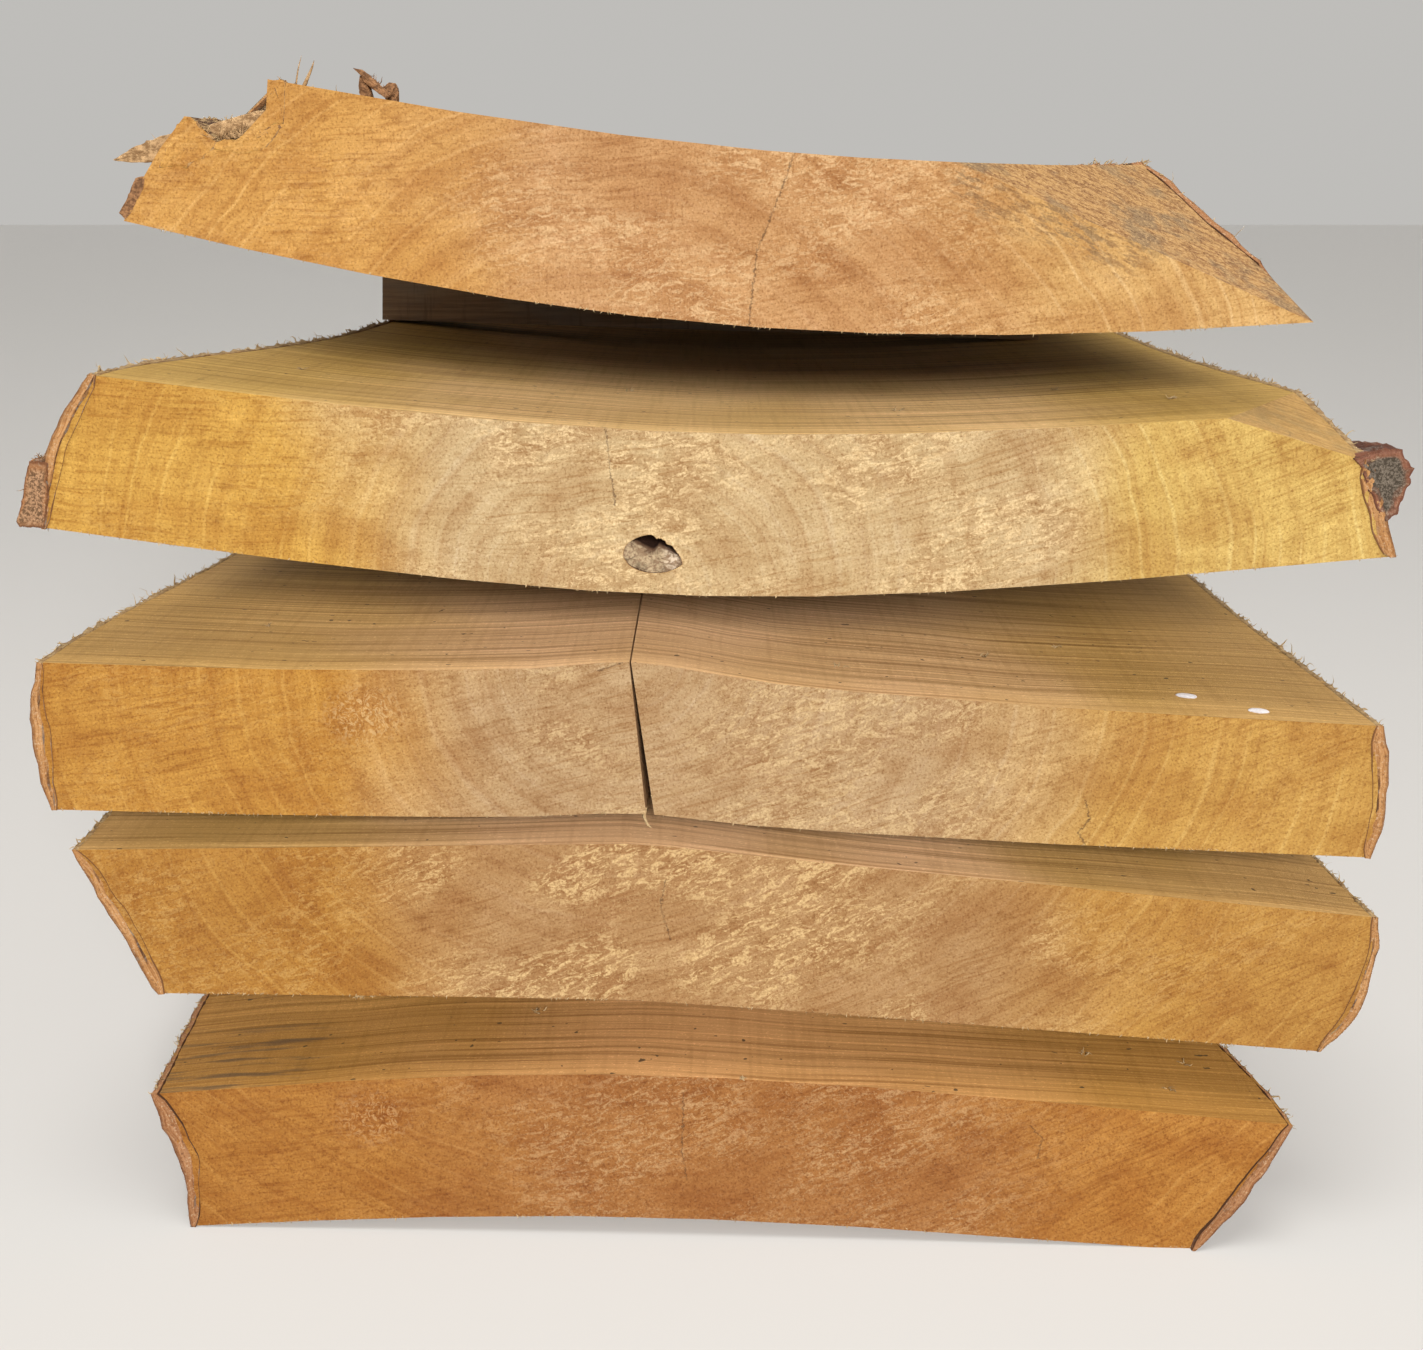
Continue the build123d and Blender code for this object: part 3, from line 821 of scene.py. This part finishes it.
splinter = Shape()
SPLINTER_LINE = [(-126, 351.5, 30), (-137, 350.8, 22), (-147.8, 347.5, 13), (-156, 344.0, 8),
                 (-163, 342.2, 5), (-169, 341.2, 3), (-175.1, 339.5, 1)]
for strand in range(13):
    turn = strand * 2.4
    spread = 2.3 if strand else 0.0
    reach = len(SPLINTER_LINE) - (0 if strand < 5 else draw.choice((1, 1, 2, 3)))
    points = []
    for i, (x, z, back) in enumerate(SPLINTER_LINE[:reach]):
        narrow = 1 - 0.9 * (i / (len(SPLINTER_LINE) - 1)) ** 2
        points.append(at_front(x + draw.uniform(-0.3, 0.3), z + math.sin(turn) * spread * narrow
                               + draw.uniform(-0.25, 0.25), back + math.cos(turn) * spread * narrow))
    splinter.strand(points, draw.uniform(1.3, 2.0) * MM, sides=5, squash=0.8)
splinter.chunk([(-175.3, 339.5), (-172.0, 341.8), (-167.0, 344.2), (-162.4, 345.8), (-158.6, 347.0),
                (-154.0, 345.6), (-154.0, 341.4), (-160.6, 338.9), (-166.0, 339.0), (-171.5, 338.8)],
               (FRONT + 1.6) * MM, 0.014, 0.0006, 9.0)
knob = Shape()
knob.chunk([(-161.6, 337.6), (-159.6, 342.6), (-156.8, 346.6), (-155.9, 349.3), (-153.2, 350.9),
            (-150.2, 350.6), (-148.2, 347.6), (-144.6, 344.8), (-147.0, 341.6), (-154.0, 337.4)],
           (FRONT - 0.15) * MM, 0.034, 0.0009, 4.0, wave=0.0004)
knob.chunk([(-146.0, 342.6), (-145.2, 344.4), (-142.6, 345.4), (-140.0, 344.9), (-137.6, 346.2),
            (-134.6, 346.0), (-132.6, 347.6), (-130.8, 346.4), (-129.4, 348.8), (-127.6, 350.2),
            (-126.0, 348.6), (-130.0, 343.0), (-138.0, 341.4)], (FRONT - 0.10) * MM, 0.020, 0.0008,
           8.0, wave=0.0004)
knob.chunk([(-126.9, 349.6), (-128.1, 352.6), (-127.0, 355.2), (-128.0, 357.6), (-126.4, 359.4),
            (-127.9, 361.2), (-125.8, 362.2), (-124.0, 361.6), (-124.6, 356.0), (-125.2, 350.0)],
           (FRONT - 0.05) * MM, 0.010, 0.0008, 6.0, wave=0.0003)
knob.make("slab_1_torn_corner", nodes["slab_1"].data.materials[0], "slab_wood")
SLIVERS = [  # from (x, z), to (x, z), and the half width
    ((-121.5, 361.0), (-119.7, 368.9), 0.32), ((-119.2, 360.5), (-115.8, 367.6), 0.62),
    ((-133.1, 345.0), (-134.3, 353.6), 0.35), ((-141.0, 346.0), (-140.5, 351.4), 0.5),
    ((-137.8, 346.0), (-137.5, 352.4), 0.5), ((-136.0, 346.0), (-132.9, 351.0), 0.6),
    ((-131.0, 346.5), (-130.0, 352.5), 0.7), ((-144.0, 346.0), (-143.6, 350.4), 0.7),
    ((-162.0, 343.5), (-164.0, 347.3), 0.22), ((-126.5, 361.0), (-129.0, 361.4), 0.6),
    ((-126.5, 359.0), (-129.6, 357.5), 0.7), ((-125.0, 360.5), (-126.6, 363.2), 0.5),
]
for (x0, z0), (x1, z1), half in SLIVERS:
    points = []
    for k in range(5):
        share = k / 4
        wave = math.sin(share * 3.0 + x0) * 0.35 * share
        points.append(at_front(x0 + (x1 - x0) * share + wave, z0 + (z1 - z0) * share, 2.5 - share))
    splinter.strand(points, half * MM, sides=4, squash=0.6)
for _ in range(46):
    high = draw.random()
    start = at_front(-127.8 + 1.8 * high + draw.uniform(-0.6, 0.6), 350 + 12 * high, draw.uniform(0.3, 9))
    splinter.hair(start, (-1, draw.uniform(-0.6, 0.4), draw.uniform(-0.4, 0.8)),
                  draw.uniform(0.8, 3.2) * MM, draw.uniform(0.15, 0.5) * MM, curl=0.45, squash=0.6)
for _ in range(70):
    start = at_front(draw.uniform(-149, -129), draw.uniform(344.5, 347.5), draw.uniform(0.5, 16))
    splinter.hair(start, (draw.uniform(-1, 0.6), draw.uniform(-0.8, 0.2), draw.uniform(0.1, 1)),
                  draw.uniform(1.5, 5.5) * MM, draw.uniform(0.2, 0.7) * MM, curl=0.4, squash=0.6)
splinter.make("slab_1_splinters", torn_wood, "slab_wood")

shell = Shape()
shell.chunk([(-166.2, 335.0), (-168.9, 334.5), (-171.5, 329.0), (-174.1, 324.6), (-172.6, 322.6),
             (-170.9, 324.4), (-169.2, 327.4), (-166.8, 331.4)], (FRONT - 0.4) * MM, 0.045, 0.0004, 2.0)
CURL = (
    [(-106.2, 365.9), (-104.0, 365.6), (-101.6, 364.0), (-99.0, 361.2), (-95.6, 358.8), (-96.4, 357.0),
     (-99.8, 359.4), (-102.6, 362.0), (-104.8, 364.4)],
    [(-104.6, 363.6), (-102.8, 363.4), (-102.2, 360.0), (-101.4, 357.6), (-104.8, 357.8), (-105.1, 361.0)],
    [(-98.6, 361.0), (-96.6, 362.2), (-94.9, 361.6), (-94.2, 359.0), (-94.4, 356.0), (-97.6, 356.4),
     (-98.8, 359.2)],
)
for leaf, outline in enumerate(CURL):
    shell.chunk(outline, (FRONT + 11 + 3 * leaf) * MM, 0.008, 0.0008, 5.0 + leaf)
for _ in range(26):
    share = draw.random()
    start = at_front(-104 + 9 * share, 364.2 - 6 * share, draw.uniform(12, 22))
    shell.hair(start, (draw.uniform(-1, 1), draw.uniform(-0.5, 0.5), draw.uniform(0, 1)),
               draw.uniform(1, 3.4) * MM, draw.uniform(0.12, 0.25) * MM, curl=0.8)
shell.make("slab_1_bark_flakes", curl_bark, "bark")


# Slab 2: the flake on its left edge, the lump on its right one, the rotted heart

flake = Shape()
flake.chunk([(-205.0, 251.9), (-199.6, 251.5), (-200.4, 240.0), (-202.0, 231.6), (-209.3, 231.8),
             (-210.3, 233.4), (-208.3, 238.4), (-206.8, 246.0)], (FRONT - 1.6) * MM, 0.040, 0.0006, 7.0)
for _ in range(60):
    start = at_front(draw.uniform(-205.4, -200.2), draw.uniform(250.2, 252.2), draw.uniform(-1.5, 12))
    flake.hair(start, (draw.uniform(-0.8, 0.5), draw.uniform(-0.6, 0.4), 1), draw.uniform(0.8, 2.6) * MM,
               draw.uniform(0.12, 0.3) * MM, curl=0.6)
flake.hair(at_front(-206.2, 244.2), (-1, 0, -0.7), 4.2 * MM, 0.2 * MM, curl=0.3)
flake.make("slab_2_bark_flake", flake_bark, "bark")

lump = Shape()
lump.chunk([(191.2, 252.4), (197.7, 254.6), (200.7, 255.6), (205.6, 255.2), (209.0, 249.4),
            (208.2, 244.6), (206.4, 239.8), (205.2, 235.4), (202.0, 233.2), (198.4, 238.6),
            (195.4, 246.0), (193.6, 250.0)], (FRONT - 0.6) * MM, 0.045, 0.0010, 3.0)
lump.make("slab_2_bark_lump", grey_bark, "bark")

ROT_HALF = (9.75, 6.0)
# the mouth of the hole, and where its upper part ends, sunk deep so that the painted shade darkens it, from the
# hole's middle
MOUTH = [(-10.4, 2.1), (-10.0, 5.2), (-7.3, 5.0), (-5.6, 5.4), (-2.9, 5.8), (0.6, 4.8), (3.2, 3.2),
         (6.3, 0.5), (7.6, -1.0), (8.0, -3.2), (7.2, -5.4), (4.5, -6.5), (1.0, -6.2), (-2.1, -5.9),
         (-4.7, -6.3), (-7.8, -4.7), (-8.6, -2.3), (-10.2, -1.4)]
BROW = [(-10.6, 5.1), (-6.9, 3.2), (-3.4, 1.2), (-0.5, 0.1), (1.0, 1.6), (4.1, 0.1), (7.9, -1.8)]
TURNS = 96
mouth = np.array(MOUTH)
mouth_turn = np.arctan2(mouth[:, 1], mouth[:, 0])
mouth_reach = np.hypot(mouth[:, 0], mouth[:, 1])
lip = Shape()
rings = []
for k in range(TURNS):
    turn = 2 * math.pi * k / TURNS - math.pi
    way = np.array([math.cos(turn), math.sin(turn)])
    hole = 1 / math.hypot(way[0] / ROT_HALF[0], way[1] / ROT_HALF[1])
    reach = np.interp(turn, mouth_turn, mouth_reach, period=2 * math.pi)
    reach += 0.45 * rough(way[0], way[1], 0.2, 4.0, 4)
    reach = min(reach, hole * 0.985)
    ring = []
    for out, back in ((hole * 1.02, 0.15), (hole * 1.015, -0.07), (reach + 0.25, -0.07), (reach, 0.25),
                      (reach, 1.2), (reach + 0.4, 3.0), (hole * 1.02, 4.0)):
        x, z = ROT_MIDDLE + way * out
        ring.append(lip.point(at_front(x, z, back)))
    rings.append(ring)
for a, b in zip(rings, rings[1:] + rings[:1]):
    for k in range(len(a)):
        follow = (k + 1) % len(a)
        lip.face(a[k], a[follow], b[follow], b[k], flat=True)
lip.make("slab_2_rot_lip", nodes["slab_2"].data.materials[0], "slab_wood")

pulp = Shape()
columns, rows = 60, 42
grid = []
for row in range(rows + 1):
    for column in range(columns + 1):
        u = column / columns * 2 - 1
        v = row / rows * 2 - 1
        # a square spread over the hole's ellipse
        x = ROT_HALF[0] * 1.05 * u * math.sqrt(1 - v * v / 2)
        z = ROT_HALF[1] * 1.05 * v * math.sqrt(1 - u * u / 2)
        brow = z - np.interp(x, *zip(*BROW))
        lumps = 1.5 * rough(x * MM, 0.1, z * MM, 260, 2) + 0.9 * rough(x * MM, 0.4, z * MM, 620, 4)
        near = 1.2 * math.exp(-((x - 4.7) ** 2 + (z + 2.8) ** 2) / 9.0)
        deep = 2.0 + lumps - near + 8.0 * min(max(brow / 1.2, 0.0), 1.0)
        pit = 3.0 * math.exp(-((x + 1.4) ** 2 + (z - 1.5) ** 2) / 4.0)
        place = at_front(ROT_MIDDLE[0] + x, ROT_MIDDLE[1] + z, max(0.5, deep + pit))
        grid.append(pulp.point(place, (u, v)))
for row in range(rows):
    for column in range(columns):
        a = row * (columns + 1) + column
        pulp.face(grid[a], grid[a + 1], grid[a + columns + 2], grid[a + columns + 1])
pulp.chunk([(-28.3, 222.4), (-28.5, 225.6), (-27.9, 228.5), (-26.5, 228.6), (-25.6, 227.0),
            (-24.6, 222.8), (-26.4, 221.4)], (FRONT + 0.5) * MM, 0.004, 0.0005, 4.0)
for _ in range(70):
    turn, share = draw.uniform(0, 2 * math.pi), math.sqrt(draw.random())
    x = ROT_MIDDLE[0] + 8.0 * share * math.cos(turn)
    z = ROT_MIDDLE[1] - 2.8 + 2.8 * share * math.sin(turn)
    pulp.hair(at_front(x, z, 2.2), (draw.uniform(-1, 1), -0.3, draw.uniform(-0.8, 0.8)),
              draw.uniform(1.0, 2.6) * MM, draw.uniform(0.12, 0.30) * MM, curl=0.5, squash=0.5)
pulp.make("slab_2_rotted_heart", rotten, "slab_wood")


# Slab 3: a sliver held in the crack, and two chalky spots on its upper face

sliver = fibres["slab_3"]
sliver.strand([at_front(-21.4, 143.5, 1), at_front(-22.0, 141.0, 0), at_front(-21.0, 138.6, -0.6),
               at_front(-19.6, 137.4, -0.4)], 0.7 * MM, sides=4)
for _ in range(16):
    fibres["slab_4"].hair(at_front(draw.uniform(-113.7, -108), 82.2, 0.4),
                          (draw.uniform(-1, 1), -0.3, -draw.uniform(0.2, 1)), draw.uniform(1, 2.6) * MM,
                          draw.uniform(0.15, 0.3) * MM, curl=0.8)
spots = Shape()
for x, y, radius in ((150.9, -966.5, 3.4), (170.1, -982.7, 3.3)):
    middle, facing = slabs["slab_3"].top(x * MM, y * MM)
    across = facing.cross(Vector((0, 1, 0))).normalized()
    along = across.cross(facing)
    levels = []
    for share, lift in ((1.0, 0.02), (0.93, 0.28), (0.6, 0.36)):
        level = []
        for k in range(28):
            turn = 2 * math.pi * k / 28
            reach = radius * share * (1 + 0.07 * rough(math.cos(turn), math.sin(turn), x, 2))
            place = middle + (across * math.cos(turn) + along * math.sin(turn)) * reach * MM
            level.append(spots.point(place + facing * lift * MM))
        levels.append(level)
    crown = spots.point(middle + facing * 0.38 * MM)
    for k in range(28):
        j = (k + 1) % 28
        for a, b in zip(levels, levels[1:]):
            spots.face(a[k], a[j], b[j], b[k])
        spots.face(levels[-1][k], levels[-1][j], crown)
spots.make("slab_3_chalk_spots", white_mark, "slab_wood")


# Chips and lint that lie on the upper faces, by (x, y) in millimetres
CHIPS = {
    "slab_5": [(123.3, -959.9), (147.9, -984.6), (8.2, -997.3), (60, -930), (-60, -940), (158, -962)],
    "slab_3": [(120, -900), (-150, -930), (40, -960), (90, -925)],
    "slab_2": [(60, -930), (-140, -905), (-30, -870), (120, -880), (150, -930)],
}
for name, places in CHIPS.items():
    for x, y in places:
        middle, facing = slabs[name].top(x * MM, y * MM)
        for _ in range(5):
            start = middle + Vector((draw.uniform(-1.6, 1.6) * MM, draw.uniform(-1.6, 1.6) * MM, 0.0002))
            fibres[name].hair(start, (draw.uniform(-1, 1), draw.uniform(-1, 1), 0.25), 2.4 * MM,
                              draw.uniform(0.25, 0.5) * MM, curl=0.6, squash=0.5)
for name, shape in fibres.items():
    shape.make(f"{name}_fibres", pale_fibre, "slab_wood")


# Stage, light and camera

floor_mesh = bpy.data.meshes.new("floor")
floor_mesh.from_pydata([(-14, -8, 0), (14, -8, 0), (14, 20, 0), (-14, 20, 0)], [], [(0, 1, 2, 3)])
floor = bpy.data.objects.new("floor", floor_mesh)
bpy.context.scene.collection.objects.link(floor)
floor_mesh.materials.append(Tree("floor_pale").finish((0.66, 0.64, 0.61), 0.9))

world = bpy.data.worlds.new("studio")
bpy.context.scene.world = world
world.use_nodes = True
sky = world.node_tree
daylight = sky.nodes["Background"]
daylight.inputs["Color"].default_value = (1.0, 0.985, 0.96, 1)
daylight.inputs["Strength"].default_value = 0.42
backdrop = sky.nodes.new("ShaderNodeBackground")
backdrop.inputs["Color"].default_value = (0.52, 0.51, 0.49, 1)
backdrop.inputs["Strength"].default_value = 1.0
seen = sky.nodes.new("ShaderNodeLightPath")
either = sky.nodes.new("ShaderNodeMixShader")
sky.links.new(seen.outputs["Is Camera Ray"], either.inputs[0])
sky.links.new(daylight.outputs[0], either.inputs[1])
sky.links.new(backdrop.outputs[0], either.inputs[2])
sky.links.new(either.outputs[0], sky.nodes["World Output"].inputs[0])


def lamp(name, kind, at, target, power, **settings):
    data = bpy.data.lights.new(name, kind)
    data.energy = power
    for key, value in settings.items():
        setattr(data, key, value)
    made = bpy.data.objects.new(name, data)
    made.location = at
    made.rotation_euler = (Vector(target) - Vector(at)).to_track_quat("-Z", "Y").to_euler()
    bpy.context.scene.collection.objects.link(made)


lamp("key", "AREA", (0.15, -3.30, 0.80), (0, -0.95, 0.18), 10, shape="RECTANGLE", size=0.75, size_y=0.42,
     spread=math.radians(80))
lamp("overhead", "SUN", (-0.3, -1.5, 4.5), (0, 0, 0), 0.9, angle=math.radians(30))

bpy.context.scene.view_settings.view_transform = "Standard"

LENS_PIXELS = 2188              # the photograph's focal length, in its own pixels
PHOTO_WIDTH = 1423
camera_data = bpy.data.cameras.new("camera")
camera_data.sensor_fit = "HORIZONTAL"
camera_data.sensor_width = 36.0
camera_data.lens = camera_data.sensor_width * LENS_PIXELS / PHOTO_WIDTH
camera_data.clip_start = 0.05
camera = bpy.data.objects.new("camera", camera_data)
camera.location = (-0.00106, -1.6486, 0.331)
camera.rotation_euler = (math.radians(90 - 12.5), 0, 0)
bpy.context.scene.collection.objects.link(camera)
bpy.context.scene.camera = camera
